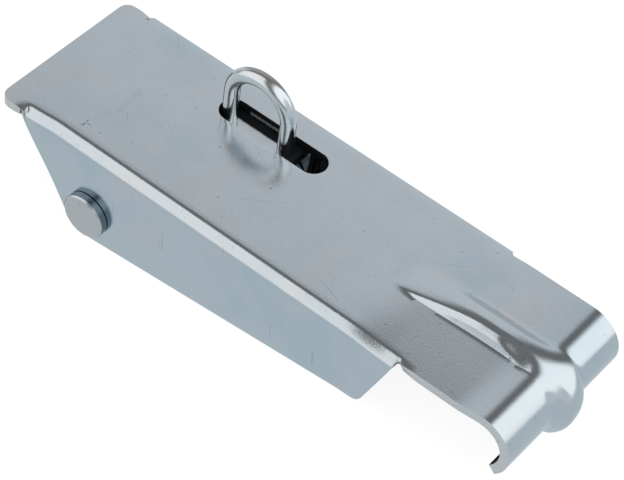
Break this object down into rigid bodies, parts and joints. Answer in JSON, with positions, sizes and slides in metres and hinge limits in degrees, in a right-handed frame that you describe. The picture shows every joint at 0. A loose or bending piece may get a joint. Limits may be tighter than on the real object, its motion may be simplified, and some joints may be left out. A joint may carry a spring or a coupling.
{
  "type": "over-centre case latch",
  "caption": "Folded steel over-centre latch with a curled hook, a finger lip and a padlock staple that stands through a slot in its cover.",
  "frame": {"origin": "middle of the base plate's screw holes, on the face that lies on the case", "axes": "+Z out of the case, +X from the finger lip towards the curled hook, +Y across the latch, towards the side where the staple stands"},
  "size_m": [0.1218, 0.0406, 0.0353],
  "materials": {
    "plated_sheet": "satin, blue-white zinc plating on pressed sheet",
    "plated_pin": "satin, turned and zinc plated",
    "plated_wire": "bright, zinc-plated wire"
  },
  "bodies": {
    "base": {"base_plate": "plated_sheet"},
    "lever": {"inner_lever": "plated_sheet", "padlock_staple": "plated_wire", "lever_pivot_pin": "plated_pin"},
    "pin": {"cover_pin": "plated_pin"},
    "cover": {"cover": "plated_sheet"}
  },
  "joints": [
    {"name": "lever_swing", "type": "hinge", "parent": "base", "child": "lever", "pos_m": [-0.009, 0, 0.0084], "axis": [0, 1, 0], "range_deg": [0, 80]},
    {"name": "pin_follow", "type": "hinge", "parent": "lever", "child": "pin", "pos_m": [-0.03, 0, 0.0071], "axis": [0, -1, 0], "range_deg": [0, 68]},
    {"name": "hook_lift", "type": "hinge", "parent": "pin", "child": "cover", "pos_m": [-0.03, 0, 0.0071], "axis": [0, -1, 0], "range_deg": [0, 52]}
  ],
  "couplings": [
    {"joint": "pin_follow", "follows": "lever_swing", "ratio": 0.85}
  ]
}
